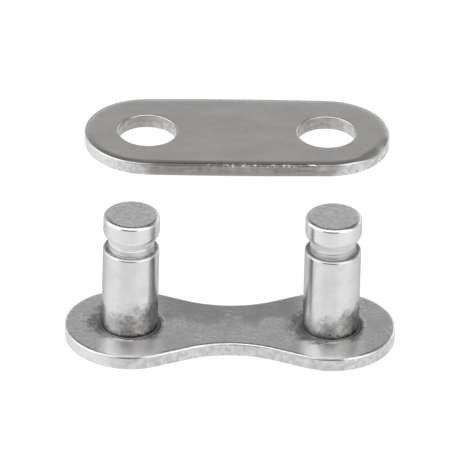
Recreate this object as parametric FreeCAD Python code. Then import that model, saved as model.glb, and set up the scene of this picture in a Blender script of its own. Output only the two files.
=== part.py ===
import FreeCAD, Part
import os
from math import acos, atan2, cos, hypot, radians, sin, tan

# Press-on connecting link of a half inch by one eighth inch bicycle chain, taken apart.
# The pin plate lies on the surface with its two grooved pins upright. The outer plate, which
# springs into the grooves, lies flat behind it. All lengths are in millimetres.
# Origin: middle of the pin plate's underside. +X runs from the left pin to the right pin,
# +Y points at the outer plate and +Z runs up the pins.

# Chain
pin_pitch = 12.70

# Strip that both plates are stamped from
plate_thickness = 0.92
end_radius = 4.09
rolled_edge = 0.20
burr_edge = 0.07

# Waist of the pin plate
half_waist = 2.34
flank_length = 2.10

# Pins
pin_diameter = 3.57
shank_length = 5.78
shoulder_chamfer = 0.12
head_length = 1.25
head_rounding = 0.20

# Groove that holds the outer plate: a plain neck, and a cone that widens to the head
groove_depth = 0.335
groove_play = 0.09
cone_length = 0.58
neck_root_radius = 0.08

# Riveted foot: a thinner seat through the plate, peened out into a countersink below
seat_step = 0.20
countersink_depth = 0.30
countersink_angle = 30.0
stake_ring_radius = 1.10
stake_ring_half_width = 0.14
stake_ring_depth = 0.07

# Where the shank stands on the plate: its own broken edge, and the ring coined round it
shank_foot_break = 0.05
coined_ring_width = 0.14
coined_ring_depth = 0.06

# Outer plate
hole_clearance = 0.19
hole_edge = 0.07
draw_in = 0.24
side_bow = 0.08
plate_gap = 15.34
sideways_shift = 0.90

# Heights, from the pin plate's underside, and radii that follow from the sizes
shoulder_height = plate_thickness + shank_length
neck_top = shoulder_height + plate_thickness + groove_play - cone_length
cone_top = neck_top + cone_length
head_top = cone_top + head_length
pin_radius = pin_diameter / 2
neck_radius = pin_radius - groove_depth
seat_radius = pin_radius - seat_step
foot_radius = seat_radius + countersink_depth * tan(radians(countersink_angle))
hole_radius = (pin_diameter + hole_clearance) / 2

# The holes are closer together than the pins, so that the plate draws both necks inwards
pin_places = {"left_pin": -pin_pitch / 2, "right_pin": pin_pitch / 2}
hole_pitch = pin_pitch + 2 * neck_radius - 2 * hole_radius - draw_in
outer_plate_y = end_radius + plate_gap + end_radius + side_bow


def point(x, y, z=0.0):
    return FreeCAD.Vector(x, y, z)


def line(start, end):
    return Part.makeLine(point(*start), point(*end))


def arc(start, middle, end):
    return Part.Arc(point(*start), point(*middle), point(*end)).toShape()


def on_circle(centre, radius, angle):
    return (centre[0] + radius * cos(angle), centre[1] + radius * sin(angle))


def flip_x(place):
    return (-place[0], place[1])


def flip_y(place):
    return (place[0], -place[1])


def flip_both(place):
    return (-place[0], -place[1])


def edges_at(shape, height):
    """Edges that lie flat at one height."""
    found = []
    for edge in shape.Edges:
        box = edge.BoundBox
        if abs(box.ZMin - height) < 1e-6 and abs(box.ZMax - height) < 1e-6:
            found.append(edge)
    return found


def rim_at(shape, height, radius):
    """The round edge of a turned shape at one height and radius."""
    for edge in edges_at(shape, height):
        if abs(edge.BoundBox.XLength / 2 - radius) < 1e-6:
            return edge
    return None


def turned(corners):
    """Solid turned round the Z axis from the corners of its half section."""
    section = [point(radius, 0, height) for radius, height in corners]
    section.append(section[0])
    return Part.Face(Part.makePolygon(section)).revolve(point(0, 0), point(0, 0, 1), 360)


def waisted_outline():
    """Two round ends joined by concave waists, with a straight flank between the arcs."""
    half_pitch = pin_pitch / 2
    free_square = half_pitch ** 2 + half_waist ** 2 - end_radius ** 2 - flank_length ** 2
    waist_radius = free_square / (2 * (end_radius - half_waist))
    end_centre = (half_pitch, 0)
    waist_centre = (0, half_waist + waist_radius)
    centre_distance = hypot(half_pitch, half_waist + waist_radius)
    centre_angle = atan2(half_waist + waist_radius, -half_pitch)
    flank_angle = centre_angle - acos((end_radius + waist_radius) / centre_distance)
    end_tip = (half_pitch + end_radius, 0)
    end_corner = on_circle(end_centre, end_radius, flank_angle)
    waist_corner = on_circle(waist_centre, -waist_radius, flank_angle)
    waist_middle = (0, half_waist)
    return [
        arc(flip_y(end_corner), end_tip, end_corner),
        line(end_corner, waist_corner),
        arc(waist_corner, waist_middle, flip_x(waist_corner)),
        line(flip_x(waist_corner), flip_x(end_corner)),
        arc(flip_x(end_corner), flip_x(end_tip), flip_both(end_corner)),
        line(flip_both(end_corner), flip_both(waist_corner)),
        arc(flip_both(waist_corner), flip_y(waist_middle), flip_y(waist_corner)),
        line(flip_y(waist_corner), flip_y(end_corner)),
    ]


def bowed_outline():
    """Two round ends joined by long sides that bow out a little."""
    half_pitch = hole_pitch / 2
    bow_offset = (half_pitch ** 2 + side_bow ** 2) / (2 * side_bow) - side_bow
    blend_angle = atan2(bow_offset, half_pitch)
    end_tip = (half_pitch + end_radius, 0)
    end_corner = on_circle((half_pitch, 0), end_radius, blend_angle)
    side_middle = (0, end_radius + side_bow)
    return [
        arc(flip_y(end_corner), end_tip, end_corner),
        arc(end_corner, side_middle, flip_x(end_corner)),
        arc(flip_x(end_corner), flip_x(end_tip), flip_both(end_corner)),
        arc(flip_both(end_corner), flip_y(side_middle), flip_y(end_corner)),
    ]


def stamped(outline):
    """Blank whose upper edge is rolled over by the punch and whose lower edge is only broken."""
    blank = Part.Face(Part.Wire(outline)).extrude(point(0, 0, plate_thickness))
    rolled = blank.makeFillet(rolled_edge, edges_at(blank, plate_thickness))
    return rolled.makeChamfer(burr_edge, edges_at(rolled, 0))


def pin_seat():
    """What one pin takes out of the plate: a bore with a countersink at its lower end."""
    return turned([
        (0, 0),
        (foot_radius, 0),
        (seat_radius, countersink_depth),
        (seat_radius, plate_thickness),
        (0, plate_thickness),
    ])


def coined_ring():
    """Ring pressed into the plate's top round one shank, deepest next to the shank."""
    return turned([
        (pin_radius, plate_thickness),
        (pin_radius, plate_thickness - coined_ring_depth),
        (pin_radius + coined_ring_width, plate_thickness),
    ])


def pin_plate():
    plate = stamped(waisted_outline())
    for place in pin_places.values():
        for tool in (pin_seat(), coined_ring()):
            tool.translate(point(place, 0))
            plate = plate.cut(tool)
    return plate


def grooved_pin():
    """Pin with a staked foot, a shank, a groove under a cone, and a rounded head."""
    pin = turned([
        (0, 0),
        (stake_ring_radius - stake_ring_half_width, 0),
        (stake_ring_radius, stake_ring_depth),
        (stake_ring_radius + stake_ring_half_width, 0),
        (foot_radius, 0),
        (seat_radius, countersink_depth),
        (seat_radius, plate_thickness),
        (pin_radius - shank_foot_break, plate_thickness),
        (pin_radius, plate_thickness + shank_foot_break),
        (pin_radius, shoulder_height),
        (neck_radius, shoulder_height),
        (neck_radius, neck_top),
        (pin_radius, cone_top),
        (pin_radius, head_top),
        (0, head_top),
    ])
    pin = pin.makeFillet(head_rounding, [rim_at(pin, head_top, pin_radius)])
    pin = pin.makeChamfer(shoulder_chamfer, [rim_at(pin, shoulder_height, pin_radius)])
    return pin.makeFillet(neck_root_radius, [rim_at(pin, shoulder_height, neck_radius)])


def outer_plate():
    """Plate that is pressed over both heads and springs into the grooves."""
    plate = stamped(bowed_outline())
    for side in (-1, 1):
        middle = point(side * hole_pitch / 2, 0)
        plate = plate.cut(Part.makeCylinder(hole_radius, plate_thickness, middle))
    flat_edges = edges_at(plate, 0) + edges_at(plate, plate_thickness)
    hole_rims = [edge for edge in flat_edges if edge.isClosed()]
    plate = plate.makeChamfer(hole_edge, hole_rims)
    plate.translate(point(sideways_shift, outer_plate_y))
    return plate


nodes = {"pin_plate": pin_plate(), "outer_plate": outer_plate()}
for name, place in pin_places.items():
    pin = grooved_pin()
    pin.translate(point(place, 0))
    nodes[name] = pin

os.makedirs("parts", exist_ok=True)
for name, shape in nodes.items():
    shape.exportStep("parts/" + name + ".step")
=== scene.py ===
from math import acos, atan2, ceil, cos, hypot, pi, radians, sin

import bmesh
import bpy
from mathutils import Matrix, Vector, noise


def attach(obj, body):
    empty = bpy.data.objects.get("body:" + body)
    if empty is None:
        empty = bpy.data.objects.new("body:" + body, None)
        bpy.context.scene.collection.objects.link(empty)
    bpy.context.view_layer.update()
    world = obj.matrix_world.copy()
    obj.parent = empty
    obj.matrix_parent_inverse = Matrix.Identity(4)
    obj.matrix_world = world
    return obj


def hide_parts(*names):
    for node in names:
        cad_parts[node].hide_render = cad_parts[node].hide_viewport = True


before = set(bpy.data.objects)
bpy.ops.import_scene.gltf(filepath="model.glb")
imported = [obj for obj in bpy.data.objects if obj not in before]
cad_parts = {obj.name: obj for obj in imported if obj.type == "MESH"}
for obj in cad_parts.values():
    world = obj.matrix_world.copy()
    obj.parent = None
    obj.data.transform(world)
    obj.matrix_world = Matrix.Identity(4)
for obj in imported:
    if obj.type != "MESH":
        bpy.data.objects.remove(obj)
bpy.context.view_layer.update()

# Sizes are in metres. The shoulder, the groove and the rolled edges follow the real link more
# closely than the solids do.

# Strip that both plates are stamped from
plate_thickness = 0.00092
end_radius = 0.00409
rolled_edge = 0.00020
burr_edge = 0.00007

# Pin plate
pin_pitch = 0.01270
pin_plate_middle = Vector((0, 0))
half_waist = 0.00234
flank_length = 0.00210

# Outer plate
hole_pitch = 0.01160
hole_radius = 0.00188
hole_edge = 0.00007
side_bow = 0.00008
outer_plate_middle = Vector((0.00090, 0.02360))

# Pins, and the groove under each head
pin_radius = 0.001785
shank_length = 0.00568
head_length = 0.001199
groove_depth = 0.000335
groove_play = 0.00024
cone_length = 0.00057
neck_root_easing = 0.00007
cone_easing = 0.00014
out_of_true = 0.000008
out_of_true_scale = 900.0

# Notches that the tool cut round the neck: height above the shoulder, and depth
tool_rings = ((0.00015, 0.00003), (0.00035, 0.00002))

# Riveted foot in its seat
seat_step = 0.00020
countersink_depth = 0.00030
foot_radius = 0.001758
stake_ring_radius = 0.00110
stake_ring_half_width = 0.00014
stake_ring_depth = 0.00007

# Where the shank stands on the plate: its own broken edge, and the ring coined round it
shank_foot_break = 0.00005
coined_ring_width = 0.00014
coined_ring_depth = 0.00006
coined_rim_depth = 0.000012
coined_wall = 0.00001
coined_foot = 0.00002

# Two lips that the coining raised round the ring: their way out from the shank, and their rise
inner_lip = coined_ring_width * 1.8
inner_lip_rise = 0.00003
lip_valley = coined_ring_width * 2.4
lip_valley_depth = 0.00001
outer_lip = coined_ring_width * 2.9
outer_lip_rise = 0.00002
lips_end = coined_ring_width * 3.4

# Heights and radii that follow from the sizes
left_pin_x = -pin_pitch / 2
right_pin_x = pin_pitch / 2
shoulder_height = plate_thickness + shank_length
neck_top = shoulder_height + plate_thickness + groove_play - cone_length
cone_top = neck_top + cone_length
head_top = cone_top + head_length
neck_radius = pin_radius - groove_depth
seat_radius = pin_radius - seat_step

# How finely the metal is drawn, and how far its outlines stay inside the solids
drawn_inside = 0.000004
outline_step = 0.00009
section_step = 0.00014
guard_step = 0.000012
easing_steps = 8
shallow_steps = 5
turn_steps = 12
facets_round_pin = 128
facets_round_hole = 112
merging_distance = 1e-8

# Flat strips that the sections keep round the edges, the holes and the pins
flat_margin = 0.0002
hole_margin = 0.0003
pin_margin = 0.0006

# How far small corners are eased
crisp_corner = 0.00001
fine_corner = 0.00002
soft_corner = 0.00003
wide_corner = 0.00004

# Rolled edges: how wide the shallow fall is, and the radius of the turn that follows
rolled_tilt = radians(16)
pin_plate_roll = (0.00013, 0.00014)
outer_plate_roll = (0.00040, 0.00012)
hole_roll = (0.00004, 0.00011)
head_roll = (0.00014, 0.00025)
shoulder_roll = (0.00003, 0.00017)

# Worn lower edge of both plates
lower_edge = 0.00013

# Deeper roll on the outer plate's right end: the directions over which it comes in and goes out
deep_roll = 0.00019
deep_roll_width = 0.00060
deep_roll_hollow = 1.5
deep_roll_foot = plate_thickness * 0.4
deep_roll_near = (radians(-64), radians(-40))
deep_roll_far = (radians(-6), radians(-27))

# Marks that tumbling and punching leave, and the scale of each one's noise
roll_waver = 0.084
waver_scale = 900
edge_nick = 0.000012
nick_scale = 5200
shear_pit = 0.000012
pit_scale = 3600
pitting_fade = 0.0001

# Where the outer plate sheared straight: one side of each hole, and most of both long sides,
# which are told by their way from the plate's middle line
hole_shear_angle = radians(118)
hole_shear_least = 0.10
hole_shear_more = 0.75
side_shear_end = (-0.0012, 0.0009)
side_shear_waver = 0.0009
side_shear_scale = 1300
side_from_middle = (0.0033, 0.0035)


def put_node(tree, kind, **settings):
    """A node of one kind, with its own settings."""
    node = tree.nodes.new(kind)
    for name, value in settings.items():
        setattr(node, name, value)
    return node


def feed(tree, socket, value):
    """Fills a socket from another node's socket, or with a plain value."""
    if isinstance(value, bpy.types.NodeSocket):
        tree.links.new(value, socket)
    else:
        socket.default_value = value


def fill(tree, node, **values):
    """Fills a node's sockets by name, with an underscore for each space, and gives its outputs."""
    for name, value in values.items():
        feed(tree, node.inputs[name.replace("_", " ")], value)
    return node.outputs


def reckon(tree, operation, first, second=0.0, third=0.0):
    """One Math node's result."""
    node = put_node(tree, "ShaderNodeMath", operation=operation)
    for socket, value in zip(node.inputs, (first, second, third)):
        feed(tree, socket, value)
    return node.outputs[0]


def plus(tree, first, second):
    return reckon(tree, "ADD", first, second)


def minus(tree, first, second):
    return reckon(tree, "SUBTRACT", first, second)


def over(tree, first, second):
    return reckon(tree, "DIVIDE", first, second)


def times(tree, first, *others):
    """Product of two or more values."""
    product = first
    for other in others:
        product = reckon(tree, "MULTIPLY", product, other)
    return product


def piled(tree, base, *shares):
    """A value raised by others, each given with how much it adds."""
    for share, amount in shares:
        base = reckon(tree, "MULTIPLY_ADD", share, amount, base)
    return base


def swung(tree, value, amount):
    """A noise's value turned about nought, half the amount each way."""
    return reckon(tree, "MULTIPLY_ADD", value, amount, -amount / 2)


def gap_to(tree, value, mark):
    """How far a value is from a mark, either way."""
    return reckon(tree, "ABSOLUTE", minus(tree, value, mark))


def ramp(tree, value, low, high, to_low=0.0, to_high=1.0):
    """A value turned smoothly from one range into another."""
    node = put_node(tree, "ShaderNodeMapRange", interpolation_type="SMOOTHSTEP")
    fill(tree, node, Value=value, From_Min=low, From_Max=high, To_Min=to_low, To_Max=to_high)
    return node.outputs["Result"]


def within(tree, value, coming, going):
    """A stretch that a value enters over one span and leaves over another."""
    entered = ramp(tree, value, coming[0], coming[1])
    not_left = ramp(tree, value, going[1], going[0])
    return times(tree, entered, not_left)


def split(tree, place):
    """A place's X, Y and Z."""
    return fill(tree, put_node(tree, "ShaderNodeSeparateXYZ"), Vector=place)


def stretched(tree, place, scale):
    """A place scaled along its axes."""
    return fill(tree, put_node(tree, "ShaderNodeMapping"), Vector=place, Scale=scale)["Vector"]


def grain_noise(tree, place, scale, detail, rough):
    """A noise texture's value."""
    node = put_node(tree, "ShaderNodeTexNoise")
    return fill(tree, node, Vector=place, Scale=scale, Detail=detail, Roughness=rough)["Fac"]


def tone(red, green, blue):
    return (red, green, blue, 1)


def grey(shade):
    return tone(shade, shade, shade)


def blend_colours(tree, share, first, second):
    """Two colours mixed by a varying share."""
    node = put_node(tree, "ShaderNodeMix", data_type="RGBA")
    feed(tree, node.inputs["Factor"], share)
    feed(tree, node.inputs[6], first)
    feed(tree, node.inputs[7], second)
    return node.outputs[2]


def coated(tree, colour, *coats):
    """A colour under coats, each given by how far it hides what lies below, and its own colour."""
    for share, coat in coats:
        colour = blend_colours(tree, share, colour, coat)
    return colour


def new_tree(kind, name, inputs, outputs):
    """An empty node tree with named sockets."""
    tree = bpy.data.node_groups.new(name, kind)
    for socket_name, socket_kind in inputs:
        tree.interface.new_socket(socket_name, in_out="INPUT", socket_type=socket_kind)
    for socket_name, socket_kind in outputs:
        tree.interface.new_socket(socket_name, in_out="OUTPUT", socket_type=socket_kind)
    given = tree.nodes.new("NodeGroupInput").outputs
    result = tree.nodes.new("NodeGroupOutput").inputs
    return tree, given, result


def new_effect(name, settings, masks):
    """An empty shader node group that turns a place and plain settings into masks."""
    inputs = [("Place", "NodeSocketVector")]
    inputs += [(setting, "NodeSocketFloat") for setting in settings]
    outputs = [(mask, "NodeSocketFloat") for mask in masks]
    return new_tree("ShaderNodeTree", name, inputs, outputs)


def use_effect(tree, effect, place, **settings):
    """An effect placed in a material; gives its masks."""
    node = put_node(tree, "ShaderNodeGroup", node_tree=effect)
    return fill(tree, node, Place=place, **settings)


def make_tumbled_grain():
    """Cloudy patches and the fine grain that tumbling gives a stamped face."""
    settings = ["Patch Scale", "Grain Scale"]
    group, given, result = new_effect("tumbled grain", settings, ["Patches", "Grain"])
    place = given["Place"]
    patches = grain_noise(group, place, given["Patch Scale"], detail=4.0, rough=0.62)
    grain = grain_noise(group, place, given["Grain Scale"], detail=2.0, rough=0.55)
    feed(group, result["Patches"], ramp(group, patches, 0.34, 0.66))
    feed(group, result["Grain"], grain)
    return group


def make_shear_marks():
    """Blotches and drag lines of a wall that a punch sheared."""
    group, given, result = new_effect("shear marks", ["Scale"], ["Blotches", "Drag Lines", "Layers"])
    place = given["Place"]
    scale = given["Scale"]
    upright = stretched(group, place, (1.0, 1.0, 0.28))
    level = stretched(group, place, (0.22, 0.22, 1.6))
    blotches = grain_noise(group, place, scale, detail=4.0, rough=0.7)
    drag_lines = grain_noise(group, upright, scale, detail=3.0, rough=0.6)
    layers = grain_noise(group, level, scale, detail=3.0, rough=0.6)
    feed(group, result["Blotches"], ramp(group, blotches, 0.36, 0.64))
    feed(group, result["Drag Lines"], drag_lines)
    feed(group, result["Layers"], ramp(group, layers, 0.36, 0.62))
    return group


def towards_side(tree, along, across, side_angle):
    """How squarely a way points to one side: 1 straight at it, -1 straight away from it."""
    angle = reckon(tree, "ARCTAN2", across, along)
    return reckon(tree, "COSINE", minus(tree, angle, side_angle))


def make_smudge_ring():
    """Dirt packed round the foot of a pin, and a smudge that frays out from it to one side."""
    settings = ["Pin X", "Inner Radius", "Spread", "Side Angle"]
    group, given, result = new_effect("smudge ring", settings, ["Dirt"])
    parts = split(group, given["Place"])
    along = minus(group, parts["X"], given["Pin X"])
    across = parts["Y"]
    squares = plus(group, times(group, along, along), times(group, across, across))
    beyond = minus(group, reckon(group, "SQRT", squares), given["Inner Radius"])
    side = towards_side(group, along, across, given["Side Angle"])
    frayed = grain_noise(group, given["Place"], 2600.0, detail=4.0, rough=0.7)

    reach = times(group, ramp(group, side, -0.2, 1.0, 0.30, 1.0), 1.35)
    smudge = minus(group, reach, over(group, beyond, given["Spread"]))
    smudge = plus(group, smudge, swung(group, frayed, 2.4))
    smudge = ramp(group, smudge, 0.15, 1.0)

    packed_rim = (0.00026, 0.00008)
    packed_waver = 0.0007
    wider_opposite = 0.00018
    packed = plus(group, beyond, swung(group, frayed, packed_waver))
    packed = minus(group, packed, ramp(group, side, 0.1, -0.8, 0.0, wider_opposite))
    packed = ramp(group, packed, *packed_rim)
    feed(group, result["Dirt"], reckon(group, "MAXIMUM", smudge, packed))
    return group


def make_foot_grime():
    """Grime on the foot of a pin, creeping higher up on one side, with a dark crust at its root."""
    settings = ["Pin X", "Height", "Lean", "Side Angle"]
    group, given, result = new_effect("foot grime", settings, ["Grime", "Crust"])
    parts = split(group, given["Place"])
    along = minus(group, parts["X"], given["Pin X"])
    side = towards_side(group, along, parts["Y"], given["Side Angle"])
    above = minus(group, parts["Z"], plate_thickness)
    thinned = ramp(group, side, -0.6, 0.4, 0.35, 1.0)

    height = piled(group, given["Height"], (side, given["Lean"]))
    frayed = grain_noise(group, given["Place"], 1900.0, detail=4.0, rough=0.65)
    grime = plus(group, over(group, above, height), swung(group, frayed, 1.8))
    feed(group, result["Grime"], times(group, ramp(group, grime, 1.35, 0.6), thinned))

    crust_height = 0.0005
    spotted = grain_noise(group, given["Place"], 4200.0, detail=4.0, rough=0.7)
    crust = plus(group, over(group, above, crust_height), swung(group, spotted, 4.4))
    feed(group, result["Crust"], times(group, ramp(group, crust, 0.7, 0.0), thinned))
    return group


def on_long_side(tree, parts):
    """The two long sides of the outer plate."""
    return ramp(tree, gap_to(tree, parts["Y"], outer_plate_middle.y), *side_from_middle)


def make_torn_burrs():
    """Small burrs in a ragged row, along part of a sheared edge, where a painted glint goes."""
    first_burrs = (-0.0016, 0.0)
    last_burrs = (0.0056, 0.0066)
    group, given, result = new_effect("torn burrs", [], ["Burrs"])
    parts = split(group, given["Place"])
    stretch = within(group, parts["X"], first_burrs, last_burrs)
    specks = grain_noise(group, given["Place"], 4200.0, detail=3.0, rough=0.7)
    specks = ramp(group, specks, 0.51, 0.61)
    feed(group, result["Burrs"], times(group, specks, stretch, on_long_side(group, parts)))
    return group


def make_turning_marks():
    """Rings that the lathe tool leaves, uneven in strength along the pin."""
    group, given, result = new_effect("turning marks", ["Rings Scale"], ["Rings"])
    flattened = stretched(group, given["Place"], (0.04, 0.04, 1.0))
    rings = grain_noise(group, flattened, given["Rings Scale"], detail=4.0, rough=0.75)
    feed(group, result["Rings"], rings)
    return group


tumbled_grain = make_tumbled_grain()
shear_marks = make_shear_marks()
smudge_ring = make_smudge_ring()
foot_grime = make_foot_grime()
torn_burrs = make_torn_burrs()
turning_marks = make_turning_marks()


def new_metal(name):
    """A bare metal material, with its shader and the place on the object."""
    material = bpy.data.materials.new(name)
    material.use_nodes = True
    tree = material.node_tree
    shader = tree.nodes["Principled BSDF"]
    shader.inputs["Metallic"].default_value = 1.0
    place = put_node(tree, "ShaderNodeTexCoord").outputs["Object"]
    return material, tree, shader, place


def finish_metal(tree, shader, colour, rough, bumps, bump_height):
    """Gives a metal its colour, its roughness, and bumps of a height in metres."""
    bump = put_node(tree, "ShaderNodeBump")
    fill(tree, bump, Strength=1.0, Distance=bump_height, Height=bumps)
    fill(tree, shader, Base_Color=colour, Roughness=rough, Normal=bump.outputs["Normal"])


def at_depth(tree, parts, none, full):
    """Nothing at one depth under a plate's upper face, and full at another."""
    return ramp(tree, parts["Z"], plate_thickness - none, plate_thickness - full)


def pin_smudges(tree, place):
    """Dirt round both pins, which spreads furthest to their left."""
    smudges = []
    for pin_x, side_angle in ((left_pin_x, radians(155)), (right_pin_x, radians(205))):
        ring = use_effect(tree, smudge_ring, place, Pin_X=pin_x, Inner_Radius=pin_radius,
                          Spread=0.00105, Side_Angle=side_angle)
        smudges.append(ring["Dirt"])
    return reckon(tree, "MAXIMUM", *smudges)


def darker_behind_waist(tree, parts, patches):
    """Darker from the middle line backwards, between the pins."""
    front_line = (-0.0011, 0.0009)
    front_waver = -0.0011
    ends = (0.0056, 0.0036)
    behind = ramp(tree, piled(tree, parts["Y"], (patches, front_waver)), *front_line)
    between = ramp(tree, reckon(tree, "ABSOLUTE", parts["X"]), *ends)
    return times(tree, behind, between)


def painted_reflections_before_pins(tree, parts):
    """Painted reflections before each pin: a pale patch on the flat for the pin's mirror image, and a
    dark spot on the roll at its tip.
    """
    patch_sides = (0.0023, 0.0016)
    patch_back = (-0.0016, -0.0020)
    tip_sides = (0.0012, 0.0004)
    tip_back = (-0.0037, -0.0039)
    from_pin = gap_to(tree, reckon(tree, "ABSOLUTE", parts["X"]), right_pin_x)
    painted_pin_reflection = times(
        tree,
        ramp(tree, from_pin, *patch_sides),
        ramp(tree, parts["Y"], *patch_back),
        at_depth(tree, parts, none=0.00004, full=0.00001),
    )
    painted_dark_dip = times(
        tree,
        ramp(tree, from_pin, *tip_sides),
        ramp(tree, parts["Y"], *tip_back),
        at_depth(tree, parts, none=0.000015, full=0.00003),
    )
    return painted_pin_reflection, painted_dark_dip


def pin_plate_face():
    """Tumbled top and underside of the pin plate: smudged round both pins, darker behind the waist,
    with painted reflections before each pin.
    """
    left_end = (-0.0020, -0.0065)
    material, tree, shader, place = new_metal("tumbled pin plate")
    parts = split(tree, place)
    grain = use_effect(tree, tumbled_grain, place, Patch_Scale=800.0, Grain_Scale=9000.0)
    mottle = use_effect(tree, tumbled_grain, place, Patch_Scale=4400.0, Grain_Scale=9000.0)
    patches = grain["Patches"]
    dirt = pin_smudges(tree, place)
    back_darkening = darker_behind_waist(tree, parts, patches)
    painted_pin_reflection, painted_dark_dip = painted_reflections_before_pins(tree, parts)
    # Paler towards the left end
    paler_left_face = ramp(tree, parts["X"], *left_end, 0.0, 0.45)
    speckled = ramp(tree, mottle["Patches"], 0.0, 1.0, 0.46, 0.0)
    clouds = blend_colours(tree, patches, tone(0.675, 0.675, 0.68), tone(0.775, 0.77, 0.77))
    colour = coated(
        tree, clouds,
        (paler_left_face, grey(0.84)),
        (speckled, grey(0.46)),
        (times(tree, back_darkening, 0.6), tone(0.33, 0.325, 0.32)),
        # Painted reflections: pale before each pin, dark on the roll at its tip
        (painted_pin_reflection, grey(0.99)),
        (painted_dark_dip, grey(0.27)),
        (times(tree, dirt, 0.8), tone(0.15, 0.14, 0.135)),
    )
    rough = piled(tree, ramp(tree, patches, 0.0, 1.0, 0.34, 0.26), (painted_pin_reflection, 0.06), (dirt, 0.2))
    bumps = piled(tree, mottle["Grain"], (patches, 1.0), (mottle["Patches"], 1.2))
    finish_metal(tree, shader, colour, rough, bumps, 0.000003)
    return material


def sheared_walls(tree):
    """How plainly sheared the metal is, as its mesh says."""
    return put_node(tree, "ShaderNodeAttribute", attribute_name="sheared").outputs["Fac"]


# Painted glint on the burrs
painted_burr_glint = tone(0.80, 0.80, 0.79)


def outer_plate_face():
    """Top and underside of the outer plate: finer, more even and a little warmer."""
    material, tree, shader, place = new_metal("tumbled outer plate")
    rolled = stretched(tree, place, (0.35, 1.0, 1.0))
    grain = use_effect(tree, tumbled_grain, rolled, Patch_Scale=900.0, Grain_Scale=9000.0)
    mottle = use_effect(tree, tumbled_grain, place, Patch_Scale=3000.0, Grain_Scale=5200.0)
    burrs = use_effect(tree, torn_burrs, place)["Burrs"]
    torn_edge = at_depth(tree, split(tree, place), none=0.00003, full=0.00005)
    torn = times(tree, sheared_walls(tree), torn_edge)
    speckled = ramp(tree, mottle["Patches"], 0.0, 1.0, 0.12, 0.0)
    clouds = blend_colours(tree, grain["Patches"], tone(0.61, 0.595, 0.575), tone(0.665, 0.65, 0.63))
    # Dark torn edge, with painted glints on its burrs
    ragged = blend_colours(tree, burrs, tone(0.18, 0.175, 0.17), painted_burr_glint)
    colour = coated(tree, clouds, (speckled, tone(0.4, 0.39, 0.38)), (torn, ragged))
    rough = ramp(tree, grain["Patches"], 0.0, 1.0, 0.33, 0.29)
    bumps = plus(tree, grain["Grain"], mottle["Grain"])
    finish_metal(tree, shader, colour, rough, bumps, 0.0000025)
    return material


def sheared_wall(name, light, dark, plain_rough, pit_depth):
    """Wall that the punch cut: bright and blotchy, darker and layered where it sheared straight."""
    foot_band = (0.00032, 0.00018)
    left_end = (-0.0062, -0.0082)
    material, tree, shader, place = new_metal(name)
    parts = split(tree, place)
    marks = use_effect(tree, shear_marks, place, Scale=2600.0)
    sheared = sheared_walls(tree)

    # Paler and more even towards the left end
    paler_left_wall = ramp(tree, parts["X"], *left_end, 0.0, 0.75)
    blotchy = blend_colours(tree, marks["Blotches"], dark, light)
    blotchy = blend_colours(tree, paler_left_wall, blotchy, grey(0.68))

    under_edge = at_depth(tree, parts, none=0.00019, full=0.00012)
    under_edge = times(tree, under_edge, on_long_side(tree, parts))
    burrs = use_effect(tree, torn_burrs, place)["Burrs"]
    burrs = times(tree, burrs, at_depth(tree, parts, none=0.00024, full=0.00014))
    dragged = piled(tree, -0.55, (marks["Layers"], 0.5), (marks["Drag Lines"], 1.6))
    layered = coated(
        tree, blend_colours(tree, dragged, tone(0.21, 0.195, 0.185), tone(0.35, 0.335, 0.32)),
        (ramp(tree, parts["Z"], *foot_band), tone(0.30, 0.295, 0.29)),
        (under_edge, tone(0.17, 0.16, 0.155)),
        # Painted glints on the burrs
        (burrs, painted_burr_glint),
    )
    colour = blend_colours(tree, sheared, blotchy, layered)
    rough = ramp(tree, marks["Blotches"], 0.0, 1.0, plain_rough + 0.12, plain_rough)
    rough = piled(tree, rough, (sheared, 0.12))
    bumps = piled(tree, marks["Blotches"], (marks["Drag Lines"], 1.5))
    finish_metal(tree, shader, colour, rough, bumps, pit_depth)
    return material


def neck_colour(tree, height_up, ring_marks, on_cone, neck_tone):
    """Ringed neck: a painted reflection makes its cone paler, and painted shade darkens its root and
    two lines round it.
    """
    root_fade = (shoulder_height + 0.00045, shoulder_height + 0.00018)
    from_root_line = gap_to(tree, height_up, shoulder_height + 0.00007)
    from_upper_line = gap_to(tree, height_up, shoulder_height + 0.00035)
    painted_shade_lines = ramp(tree, reckon(tree, "MINIMUM", from_root_line, from_upper_line), 0.000045, 0.00001)
    painted_root_shade = ramp(tree, height_up, *root_fade)
    ringed = ramp(tree, ring_marks, 0.42, 0.60)
    return coated(
        tree, blend_colours(tree, ringed, grey(neck_tone * 0.68), grey(neck_tone)),
        # Painted reflection on the cone, painted shade at the root and in two lines
        (times(tree, on_cone, neck_tone * 0.7), grey(1)),
        (times(tree, painted_root_shade, 0.45), tone(0.40, 0.40, 0.395)),
        (times(tree, painted_shade_lines, 0.6), tone(0.22, 0.22, 0.215)),
    )


def painted_ledge_shade(tree, parts, axis_x, patches):
    """Painted shade on the ledge round the neck, strongest at the pin's two sides."""
    on_ledge = within(
        tree, parts["Z"],
        coming=(shoulder_height - 0.00003, shoulder_height - 0.00001),
        going=(shoulder_height + 0.00002, shoulder_height + 0.00005),
    )
    at_side = ramp(tree, gap_to(tree, parts["X"], axis_x), 0.0003, 0.0013, 0.45, 1.2)
    return times(tree, on_ledge, at_side, patches)


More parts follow.
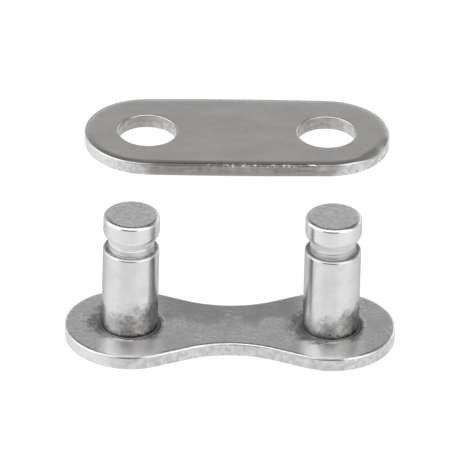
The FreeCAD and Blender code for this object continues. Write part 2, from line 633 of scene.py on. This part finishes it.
def pin_steel(name, axis_x, neck_tone, grime_height, grime_lean, grime_side):
    """Turned and plated pin: bright shank, ringed neck, satin head and a soiled foot."""
    material, tree, shader, place = new_metal(name)
    shader.inputs["Specular Tint"].default_value = grey(0.6)
    parts = split(tree, place)
    height_up = parts["Z"]
    grain = use_effect(tree, tumbled_grain, place, Patch_Scale=1100.0, Grain_Scale=8000.0)
    mottle = use_effect(tree, tumbled_grain, place, Patch_Scale=2600.0, Grain_Scale=6000.0)
    pitted = use_effect(tree, tumbled_grain, place, Patch_Scale=4300.0, Grain_Scale=9000.0)
    rings = use_effect(tree, turning_marks, place, Rings_Scale=9000.0)["Rings"]
    foot = use_effect(tree, foot_grime, place, Pin_X=axis_x, Height=grime_height, Lean=grime_lean,
                      Side_Angle=grime_side)
    in_groove = within(
        tree, height_up,
        coming=(shoulder_height - 0.00010, shoulder_height - 0.00001),
        going=(cone_top - 0.00020, cone_top),
    )
    on_cone = within(
        tree, height_up,
        coming=(neck_top - 0.00006, neck_top + 0.00002),
        going=(cone_top - 0.00010, cone_top),
    )
    on_head_wall = ramp(tree, height_up, cone_top - 0.00010, cone_top + 0.00010)
    on_head = ramp(tree, height_up, head_top - 0.000010, head_top - 0.000004)

    shank = blend_colours(tree, grain["Patches"], tone(0.585, 0.59, 0.60), tone(0.635, 0.635, 0.64))
    head = blend_colours(tree, pitted["Patches"], tone(0.95, 0.95, 0.955), tone(0.73, 0.73, 0.735))
    # Grime on the foot, and painted shade on the ledge, in one colour
    grime_and_shade_tone = blend_colours(tree, mottle["Patches"], tone(0.165, 0.16, 0.15), tone(0.315, 0.31, 0.30))
    grime_and_ledge_shade = reckon(tree, "MAXIMUM", foot["Grime"], painted_ledge_shade(tree, parts, axis_x, mottle["Patches"]))
    colour = coated(
        tree, shank,
        (times(tree, on_head_wall, 0.3), tone(0.80, 0.80, 0.805)),
        (on_head, head),
        (in_groove, neck_colour(tree, height_up, rings, on_cone, neck_tone)),
        # Foot grime, and painted shade on the ledge under the head
        (times(tree, grime_and_ledge_shade, 0.92), grime_and_shade_tone),
        (foot["Crust"], tone(0.09, 0.085, 0.08)),
    )
    rough = piled(
        tree, ramp(tree, grain["Patches"], 0.0, 1.0, 0.23, 0.19),
        (on_head, 0.10),
        (on_head_wall, 0.05),
        (in_groove, 0.24),
        (on_cone, 0.26),
        (foot["Grime"], 0.15),
    )
    ring_height = piled(tree, 0.4, (in_groove, 2.5))
    patch_height = piled(tree, 0.5, (foot["Grime"], 3.0), (on_head, 1.0))
    bumps = piled(
        tree, 0.0,
        (mottle["Patches"], patch_height),
        (grain["Grain"], 0.5),
        (rings, ring_height),
    )
    finish_metal(tree, shader, colour, rough, bumps, 0.000003)
    return material


def eased(corners):
    """Section points along straight runs, with each corner rounded over its own cut-back."""
    runs = []
    for index, (radius, height, easing) in enumerate(corners):
        corner = Vector((radius, height))
        if easing == 0.0:
            runs.append([corner])
            continue
        before = Vector(corners[index - 1][:2]) - corner
        after = Vector(corners[index + 1][:2]) - corner
        start = corner + before.normalized() * easing
        end = corner + after.normalized() * easing
        turn = []
        for step in range(easing_steps + 1):
            share = step / easing_steps
            first = start.lerp(corner, share)
            turn.append(first.lerp(corner.lerp(end, share), share))
        runs.append(turn)
    points = list(runs[0])
    for run in runs[1:]:
        start = points[-1]
        end = run[0]
        length = (end - start).length
        if length > 3 * guard_step:
            inner_start = start.lerp(end, guard_step / length)
            inner_end = end.lerp(start, guard_step / length)
            pieces = ceil((length - 2 * guard_step) / section_step)
            points += [inner_start.lerp(inner_end, step / pieces) for step in range(pieces + 1)]
        points += run
    return points


def ray_at(angle):
    return Vector((cos(angle), sin(angle)))


def along_arc(centre, radius, start_angle, end_angle, outward_side=1):
    """Outline places along an arc, each with the way out of the metal; the last one is left out."""
    count = ceil(radius * abs(end_angle - start_angle) / outline_step)
    places = []
    for step in range(count):
        ray = ray_at(start_angle + (end_angle - start_angle) * step / count)
        places.append((centre + ray * radius, ray * outward_side))
    return places


def along_flank(start, end):
    """Outline places along a straight flank; the last one is left out."""
    count = ceil((end - start).length / outline_step)
    way = (end - start).normalized()
    outward = Vector((way.y, -way.x))
    return [(start.lerp(end, step / count), outward) for step in range(count)]


def waisted_outline():
    """Two round ends joined by concave waists, with a straight flank between the arcs."""
    half_pitch = pin_pitch / 2
    free_square = half_pitch ** 2 + half_waist ** 2 - end_radius ** 2 - flank_length ** 2
    waist_radius = free_square / (2 * (end_radius - half_waist))
    waist_offset = half_waist + waist_radius
    gap = acos((end_radius + waist_radius) / hypot(half_pitch, waist_offset))
    flank_angle = atan2(waist_offset, -half_pitch) - gap
    inner_angle = pi - flank_angle
    places = []
    for way in (1, -1):
        turn = 0 if way == 1 else pi
        end_centre = Vector((half_pitch * way, 0))
        waist_centre = Vector((0, waist_offset * way))
        near_ray = ray_at(turn + flank_angle)
        far_ray = ray_at(turn + inner_angle)
        end_corner = end_centre + near_ray * end_radius
        waist_start = waist_centre - near_ray * waist_radius
        waist_end = waist_centre - far_ray * waist_radius
        places += along_arc(end_centre, end_radius, turn - flank_angle, turn + flank_angle)
        places += along_flank(end_corner, waist_start)
        places += along_arc(waist_centre, waist_radius, turn - inner_angle, turn - pi + inner_angle, -1)
        places += along_flank(waist_end, far_ray * end_radius - end_centre)
    return places


def bowed_outline():
    """Two round ends joined by long sides that bow out a little."""
    half_pitch = hole_pitch / 2
    bow_offset = (half_pitch ** 2 + side_bow ** 2) / (2 * side_bow) - side_bow
    blend_angle = atan2(bow_offset, half_pitch)
    side_radius = bow_offset + side_bow + end_radius
    places = []
    for way in (1, -1):
        turn = 0 if way == 1 else pi
        end_centre = outer_plate_middle + Vector((half_pitch * way, 0))
        bow_centre = outer_plate_middle - Vector((0, bow_offset * way))
        places += along_arc(end_centre, end_radius, turn - blend_angle, turn + blend_angle)
        places += along_arc(bow_centre, side_radius, turn + blend_angle, turn + pi - blend_angle)
    return places


def hole_outlines(middle, pitch, radius):
    """Edges of a plate's two round holes; the way out of the metal points to each one's centre."""
    outlines = []
    for side in (-1, 1):
        centre = middle + Vector((side * pitch / 2, 0))
        rays = [ray_at(2 * pi * step / facets_round_hole) for step in range(facets_round_hole)]
        outlines.append([(centre + ray * radius, -ray) for ray in rays])
    return outlines


def from_nearer_hole(spot, middle, pitch):
    """Way to a spot from the centre of the nearer one of a plate's two holes."""
    side = 1 if spot.x >= middle.x else -1
    return Vector((spot.x - middle.x - side * pitch / 2, spot.y - middle.y))


def tumbled_edge(point, outward):
    """The rolled edge wavers and the wall is pitted, always into the metal."""
    if point.z < burr_edge / 2:
        return point
    depth = plate_thickness - point.z
    on_wall = max(0, min(1, (depth - rolled_edge) / pitting_fade))
    waver = roll_waver * abs(noise.noise(point * waver_scale)) * min(depth, rolled_edge)
    nick = edge_nick * max(0, noise.noise(point * nick_scale)) * min(1, depth / rolled_edge)
    pit = shear_pit * (0.5 + 0.5 * noise.noise(point * pit_scale))
    sunk = Vector((0, 0, waver * (1 - on_wall)))
    return point - sunk - outward.to_3d() * (nick * (1 - on_wall) + pit * on_wall)


def share_between(value, low, high):
    """How far a value has come from one limit to another, easing from 0 to 1."""
    share = max(0.0, min(1.0, (value - low) / (high - low)))
    return share * share * (3 - 2 * share)


def deeper_right_end(outward, inset, height):
    """How much deeper the edge is rolled over, at the near side of the plate's right end."""
    angle = atan2(outward.y, outward.x)
    at_end = share_between(angle, *deep_roll_near) * share_between(angle, *deep_roll_far)
    near_wall = max(0.0, 1 - inset / deep_roll_width) ** deep_roll_hollow
    upper = share_between(height, deep_roll_foot, plate_thickness)
    return deep_roll * at_end * near_wall * upper


def ring_mesh(metal, outline, section, tumbled=False, deeper=None):
    """Rings of a section carried round an outline; gives the first and the last ring."""
    rings = []
    for inset, height in section:
        ring = []
        for place, outward in outline:
            spot = place - outward * (inset + drawn_inside)
            point = Vector((spot.x, spot.y, height))
            if tumbled:
                point = tumbled_edge(point, outward)
            if deeper:
                point.z -= deeper(outward, inset, height)
            ring.append(metal.verts.new(point))
        rings.append(ring)
    for upper, lower in zip(rings, rings[1:]):
        for index in range(len(outline)):
            following = (index + 1) % len(outline)
            metal.faces.new((upper[index], upper[following], lower[following], lower[index]))
    return rings[0], rings[-1]


def fill_between(metal, rings):
    """Flat face whose borders are the given rings."""
    edges = []
    for ring in rings:
        for index, vertex in enumerate(ring):
            edges.append(metal.edges.get((vertex, ring[(index + 1) % len(ring)])))
    bmesh.ops.triangle_fill(metal, use_beauty=True, edges=edges)


def pierced_blank(outline, section, holes, hole_section, deeper=None):
    """Plate with a tumbled outer edge and two holes, from their outlines and sections."""
    metal = bmesh.new()
    borders = [ring_mesh(metal, outline, section, True, deeper)]
    for hole in holes:
        borders.append(ring_mesh(metal, hole, hole_section))
    for rings_at_face in zip(*borders):
        fill_between(metal, rings_at_face)
    return metal


def mark_walls(metal, in_hole, sheared_share):
    """Gives the walls their own material, and says how plainly sheared each point is."""
    steepest_flat = 0.5
    wall_top = plate_thickness - rolled_edge * 0.6
    layer = metal.verts.layers.float.new("sheared")
    metal.normal_update()
    for vertex in metal.verts:
        vertex[layer] = sheared_share(vertex.co)
    for face in metal.faces:
        middle = face.calc_center_median()
        steep = abs(face.normal.z) < steepest_flat
        face.material_index = int(steep and (in_hole(middle) or middle.z < wall_top))


def finished_object(metal, name, materials):
    """An object with outward faces and smooth shading."""
    bmesh.ops.remove_doubles(metal, verts=metal.verts, dist=merging_distance)
    bmesh.ops.recalc_face_normals(metal, faces=metal.faces)
    for face in metal.faces:
        face.smooth = True
    mesh = bpy.data.meshes.new(name)
    metal.to_mesh(mesh)
    metal.free()
    for material in materials:
        mesh.materials.append(material)
    made = bpy.data.objects.new(name, mesh)
    bpy.context.scene.collection.objects.link(made)
    return made


def rolled_fall(shallow_width, turn_radius):
    """Insets and depths of a rolled edge: a shallow fall from the flat, then a turn into the wall."""
    fall = []
    turn_width = turn_radius * (1 - sin(rolled_tilt))
    for step in range(shallow_steps):
        share = step / shallow_steps
        depth = shallow_width * share ** 2 * sin(rolled_tilt) / 2
        fall.append((turn_width + shallow_width * (1 - share), depth))
    shallow_depth = shallow_width * sin(rolled_tilt) / 2
    for step in range(turn_steps + 1):
        angle = rolled_tilt + (pi / 2 - rolled_tilt) * step / turn_steps
        depth = shallow_depth + turn_radius * (cos(rolled_tilt) - cos(angle))
        fall.append((turn_radius * (1 - sin(angle)), depth))
    return fall


def plate_edge(roll, broken, margin):
    """Edge of a plate or hole, from the upper face to the underside."""
    fall = rolled_fall(*roll)
    corners = [(fall[0][0] + margin, plate_thickness, 0)]
    corners += [(inset, plate_thickness - depth, 0) for inset, depth in fall]
    corners += [(0, 0, broken), (broken + margin, 0, 0)]
    return eased(corners)


def beside_pin(way_out, rise, easing):
    """Corner of the pin seat's section at the plate's upper face, by its way out from the pin."""
    return (pin_radius + way_out - seat_radius, plate_thickness + rise, easing)


pin_seat_section = eased([
    beside_pin(pin_margin, 0, 0),
    beside_pin(lips_end, 0, soft_corner),
    beside_pin(outer_lip, outer_lip_rise, soft_corner),
    beside_pin(lip_valley, -lip_valley_depth, soft_corner),
    beside_pin(inner_lip, inner_lip_rise, wide_corner),
    beside_pin(coined_ring_width, -coined_rim_depth, wide_corner),
    beside_pin(coined_foot, -coined_ring_depth, fine_corner),
    beside_pin(coined_wall, 0, crisp_corner),
    (0, plate_thickness, 0),
    (0, countersink_depth, 0),
    (foot_radius - seat_radius, 0, 0),
    (foot_radius - seat_radius + flat_margin, 0, 0),
])


def stamped_pin_plate():
    """Waisted plate with a seat for each pin, and a ring coined round it."""
    seats = hole_outlines(pin_plate_middle, pin_pitch, seat_radius)
    section = plate_edge(pin_plate_roll, lower_edge, flat_margin)
    metal = pierced_blank(waisted_outline(), section, seats, pin_seat_section)
    coined_reach = pin_radius + 0.0005

    def near_pin(spot):
        return from_nearer_hole(spot, pin_plate_middle, pin_pitch).length < coined_reach

    mark_walls(metal, near_pin, lambda spot: 0.0)
    wall = sheared_wall(
        "cut wall of pin plate", light=grey(0.62), dark=grey(0.475),
        plain_rough=0.28, pit_depth=0.000003,
    )
    return finished_object(metal, "stamped_pin_plate", [pin_plate_face(), wall])


def stamped_outer_plate():
    """Plate with bowed sides and two round holes, which goes over both heads."""
    holes = hole_outlines(outer_plate_middle, hole_pitch, hole_radius)
    section = plate_edge(outer_plate_roll, lower_edge, flat_margin)
    hole_section = plate_edge(hole_roll, hole_edge, hole_margin)
    metal = pierced_blank(bowed_outline(), section, holes, hole_section, deeper_right_end)

    def in_hole(spot):
        return from_nearer_hole(spot, outer_plate_middle, hole_pitch).length < hole_radius + hole_edge

    def sheared_share(spot):
        if in_hole(spot):
            way = from_nearer_hole(spot, outer_plate_middle, hole_pitch)
            squarely = max(0, cos(atan2(way.y, way.x) - hole_shear_angle))
            return hole_shear_least + hole_shear_more * squarely ** 2
        waver = side_shear_waver * noise.noise(spot * side_shear_scale)
        along = abs(spot.x - outer_plate_middle.x) + waver
        return share_between(hole_pitch / 2 - along, *side_shear_end)

    mark_walls(metal, in_hole, sheared_share)
    wall = sheared_wall(
        "cut wall of outer plate", light=grey(0.62), dark=tone(0.44, 0.435, 0.43),
        plain_rough=0.24, pit_depth=0.000004,
    )
    return finished_object(metal, "stamped_outer_plate", [outer_plate_face(), wall])


def pin_edge(roll, top):
    """Rounded edge of a pin, from its side up to a flat."""
    return [(pin_radius - inset, top - depth, 0) for inset, depth in reversed(rolled_fall(*roll))]


def tool_ring_corners():
    """Notches round the neck, each as deep as half its width."""
    corners = []
    for rise, depth in tool_rings:
        middle = shoulder_height + rise
        corners.append((neck_radius, middle - depth, crisp_corner))
        corners.append((neck_radius - depth, middle, crisp_corner))
        corners.append((neck_radius, middle + depth, crisp_corner))
    return corners


pin_section = eased([
    (0, 0, 0),
    (stake_ring_radius - stake_ring_half_width, 0, soft_corner),
    (stake_ring_radius, stake_ring_depth, soft_corner),
    (stake_ring_radius + stake_ring_half_width, 0, soft_corner),
    (foot_radius, 0, crisp_corner),
    (seat_radius, countersink_depth, soft_corner),
    (seat_radius, plate_thickness, crisp_corner),
    (pin_radius - shank_foot_break, plate_thickness, fine_corner),
    (pin_radius, plate_thickness + shank_foot_break, soft_corner),
    *pin_edge(shoulder_roll, shoulder_height),
    (neck_radius, shoulder_height, neck_root_easing),
    *tool_ring_corners(),
    (neck_radius, neck_top, wide_corner),
    (pin_radius, cone_top, cone_easing),
    *pin_edge(head_roll, head_top),
    (0, head_top, 0),
])


def joined(tree, x, y, z):
    """A place from its X, Y and Z."""
    return fill(tree, put_node(tree, "ShaderNodeCombineXYZ"), X=x, Y=y, Z=z)["Vector"]


def led_through(tree, kind, geometry, **values):
    """Geometry led through one more node."""
    return fill(tree, put_node(tree, kind), Geometry=geometry, **values)[0]


def turned_pin_tree():
    """Turns a half section, given as points, round an upright axis, slightly out of true."""
    inputs = [
        ("Half Section", "NodeSocketGeometry"),
        ("Section Points", "NodeSocketInt"),
        ("Facets Round", "NodeSocketInt"),
        ("Axis X", "NodeSocketFloat"),
        ("Out Of True", "NodeSocketFloat"),
        ("Seed", "NodeSocketInt"),
        ("Steel", "NodeSocketMaterial"),
    ]
    outputs = [("Pin", "NodeSocketGeometry")]
    tree, given, result = new_tree("GeometryNodeTree", "turned pin", inputs, outputs)

    # A sheet with one row for each section point and one column for each facet
    columns = plus(tree, given["Facets Round"], 1.0)
    sheet = put_node(tree, "GeometryNodeMeshGrid")
    sheet = fill(tree, sheet, Vertices_X=given["Section Points"], Vertices_Y=columns)["Mesh"]
    index = put_node(tree, "GeometryNodeInputIndex").outputs[0]
    row = reckon(tree, "FLOOR", over(tree, plus(tree, index, 0.5), columns))
    column = minus(tree, index, times(tree, row, columns))
    angle = times(tree, column, over(tree, 2 * pi, given["Facets Round"]))
    cosine = reckon(tree, "COSINE", angle)
    sine = reckon(tree, "SINE", angle)

    # The section's radius and height at each row
    here = put_node(tree, "GeometryNodeInputPosition").outputs[0]
    sample = put_node(tree, "GeometryNodeSampleIndex", data_type="FLOAT_VECTOR")
    sampled = fill(tree, sample, Geometry=given["Half Section"], Value=here, Index=row)[0]
    section = split(tree, sampled)
    height = section["Z"]

    # The radius, drawn in a little by an uneven amount
    ray = joined(tree, cosine, sine, times(tree, height, out_of_true_scale))
    uneven = put_node(tree, "ShaderNodeTexNoise", noise_dimensions="4D")
    uneven = fill(tree, uneven, Vector=ray, W=given["Seed"], Scale=1.0, Detail=2.0)["Fac"]
    share = over(tree, section["X"], pin_radius)
    radius = minus(tree, section["X"], times(tree, uneven, given["Out Of True"], share))

    # The sheet wrapped round the axis and closed
    around = piled(tree, given["Axis X"], (cosine, radius))
    place = joined(tree, around, times(tree, sine, radius), height)
    turned = led_through(tree, "GeometryNodeSetPosition", sheet, Position=place)
    turned = led_through(tree, "GeometryNodeMergeByDistance", turned, Distance=merging_distance)
    turned = led_through(tree, "GeometryNodeRealizeInstances", turned)
    turned = led_through(tree, "GeometryNodeSetMaterial", turned, Material=given["Steel"])
    feed(tree, result["Pin"], turned)
    return tree


def turned_pin(tree, name, axis_x, seed, steel):
    """One pin, turned by the tree and kept as a plain mesh."""
    points = [(spot.x, 0, spot.y) for spot in pin_section]
    half_section = bpy.data.meshes.new("half section of a pin")
    half_section.from_pydata(points, [], [])
    blank = bpy.data.objects.new("pin blank", half_section)
    bpy.context.scene.collection.objects.link(blank)
    lathe = blank.modifiers.new("lathe", "NODES")
    lathe.node_group = tree
    inputs = {
        "Section Points": len(points),
        "Facets Round": facets_round_pin,
        "Axis X": axis_x,
        "Out Of True": out_of_true,
        "Seed": seed,
        "Steel": steel,
    }
    keys = {item.name: item.identifier for item in tree.interface.items_tree}
    for input_name, value in inputs.items():
        lathe[keys[input_name]] = value
    bpy.context.view_layer.update()
    evaluated = blank.evaluated_get(bpy.context.evaluated_depsgraph_get())
    turned = bpy.data.meshes.new_from_object(evaluated)
    metal = bmesh.new()
    metal.from_mesh(turned)
    blank.modifiers.clear()
    bpy.data.objects.remove(blank)
    return finished_object(metal, name, [steel])


def light_tent():
    """Pale tent, dim high up at the back, with a large soft panel each side of the camera."""
    dome_heights = (0.0, 0.30, 0.50, 0.62, 0.76, 1.0)
    dome_shades = (0.62, 0.68, 0.65, 0.24, 0.12, 0.17)
    camera_east = -0.17
    least_level_square = 0.0001
    world = bpy.data.worlds.new("light tent")
    world.use_nodes = True
    bpy.context.scene.world = world
    tree = world.node_tree

    # Each direction's rise, and how far its level part points east and towards the camera
    parts = split(tree, put_node(tree, "ShaderNodeTexCoord").outputs["Generated"])
    rise = parts["Z"]
    level_square = minus(tree, 1.0, times(tree, rise, rise))
    level = reckon(tree, "SQRT", reckon(tree, "MAXIMUM", level_square, least_level_square))
    east = over(tree, parts["X"], level)
    towards = over(tree, times(tree, parts["Y"], -1.0), level)

    dome = put_node(tree, "ShaderNodeValToRGB")
    feed(tree, dome.inputs["Fac"], rise)
    stops = dome.color_ramp.elements
    for dome_height in dome_heights[1:-1]:
        stops.new(dome_height)
    for stop, shade in zip(stops, dome_shades):
        stop.color = grey(shade)

    panel_end = ramp(tree, east, -0.3, 0.3, -0.6, 0.05)
    panel_sides = ramp(tree, minus(tree, towards, panel_end), 0.0, 0.25)
    panel_height = within(tree, rise, coming=(-0.02, 0.06), going=(0.86, 0.95))
    panels = times(tree, panel_height, panel_sides)
    ceiling = times(tree, ramp(tree, parts["Y"], 0.22, 0.08), ramp(tree, rise, 0.88, 0.94))
    from_camera = gap_to(tree, east, camera_east)
    gap_below_camera = times(
        tree,
        ramp(tree, towards, 0.0, 0.2),
        ramp(tree, from_camera, 0.62, 0.42),
        ramp(tree, rise, 0.66, 0.54),
    )
    low_right = times(
        tree,
        ramp(tree, east, 0.14, 0.42),
        ramp(tree, rise, 0.55, 0.40),
        ramp(tree, towards, -0.35, -0.55),
    )
    light = coated(
        tree, dome.outputs["Color"],
        (low_right, grey(1.4)),
        (reckon(tree, "MAXIMUM", panels, ceiling), tone(1.75, 1.75, 1.76)),
        (gap_below_camera, grey(0.12)),
    )
    feed(tree, tree.nodes["Background"].inputs["Color"], light)


def grey_shader(tree, kind, shade):
    """A shader node of one grey."""
    node = put_node(tree, kind)
    node.inputs["Color"].default_value = grey(shade)
    return node


def both_shaders(tree, first, second):
    """Two shaders added up."""
    node = put_node(tree, "ShaderNodeAddShader")
    feed(tree, node.inputs[0], first.outputs[0])
    feed(tree, node.inputs[1], second.outputs[0])
    return node


def white_floor():
    """Pale floor that the camera and the metal see as white, with the link's soft shadow on it."""
    floor_size = 3.0
    below_link = 0.00001
    bpy.ops.mesh.primitive_plane_add(size=floor_size, location=(0, 0, -below_link))
    floor = bpy.context.object
    floor.name = "floor"
    material = bpy.data.materials.new("white floor")
    material.use_nodes = True
    tree = material.node_tree
    tree.nodes.remove(tree.nodes["Principled BSDF"])

    pale = grey_shader(tree, "ShaderNodeBsdfDiffuse", 0.82)
    shadowed = grey_shader(tree, "ShaderNodeBsdfDiffuse", 0.15)
    glow = grey_shader(tree, "ShaderNodeEmission", 0.88)
    sheen = grey_shader(tree, "ShaderNodeBsdfAnisotropic", 0.09)
    sheen.inputs["Roughness"].default_value = 0.2
    white = both_shaders(tree, both_shaders(tree, shadowed, sheen), glow)

    path = put_node(tree, "ShaderNodeLightPath").outputs
    seen = reckon(tree, "MAXIMUM", path["Is Camera Ray"], path["Is Glossy Ray"])
    either = put_node(tree, "ShaderNodeMixShader")
    feed(tree, either.inputs[0], seen)
    feed(tree, either.inputs[1], pale.outputs[0])
    feed(tree, either.inputs[2], white.outputs[0])
    feed(tree, tree.nodes["Material Output"].inputs["Surface"], either.outputs[0])
    floor.data.materials.append(material)


def place_camera():
    """Camera of the photograph, 0.8 m away and 32 degrees above the floor."""
    rise = radians(32.0)
    turn = radians(-1.861)
    roll = radians(1.516)
    distance = 0.800
    aim_across = 0.0000147
    aim_upwards = 0.0067215
    sensor_width = 36
    lens_length = 991.1
    back = Vector((sin(turn) * cos(rise), -cos(turn) * cos(rise), sin(rise)))
    level = Vector((cos(turn), sin(turn), 0))
    steep = back.cross(level)
    right = level * cos(roll) + steep * sin(roll)
    up = steep * cos(roll) - level * sin(roll)
    aim = right * aim_across + up * aim_upwards
    stand = back * distance
    backwards = (stand - aim).normalized()
    sideways = up.cross(backwards).normalized()
    upright = backwards.cross(sideways)
    lens_data = bpy.data.cameras.new("camera")
    lens_data.sensor_width = sensor_width
    lens_data.lens = lens_length
    camera = bpy.data.objects.new("camera", lens_data)
    turned = Matrix((sideways, upright, backwards)).transposed().to_4x4()
    camera.matrix_world = Matrix.Translation(stand) @ turned
    bpy.context.scene.collection.objects.link(camera)
    bpy.context.scene.camera = camera


light_tent()
white_floor()
place_camera()

left_steel = pin_steel(
    "left pin steel", left_pin_x, neck_tone=0.96,
    grime_height=0.00155, grime_lean=0.0005, grime_side=radians(-30),
)
right_steel = pin_steel(
    "right pin steel", right_pin_x, neck_tone=0.80,
    grime_height=0.00135, grime_lean=0.0006, grime_side=radians(-15),
)
lathe_tree = turned_pin_tree()
pin_plate = stamped_pin_plate()
outer_plate = stamped_outer_plate()
left_pin = turned_pin(lathe_tree, "turned_left_pin", left_pin_x, seed=3, steel=left_steel)
right_pin = turned_pin(lathe_tree, "turned_right_pin", right_pin_x, seed=8, steel=right_steel)
dressed = {
    "pin_plate": (pin_plate, "plate_steel"),
    "outer_plate": (outer_plate, "plate_steel"),
    "left_pin": (left_pin, "pin_steel"),
    "right_pin": (right_pin, "pin_steel"),
}
for node_name, (piece, slot_name) in dressed.items():
    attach(piece, "root")
    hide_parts(node_name)

bpy.context.scene.view_settings.view_transform = "Standard"
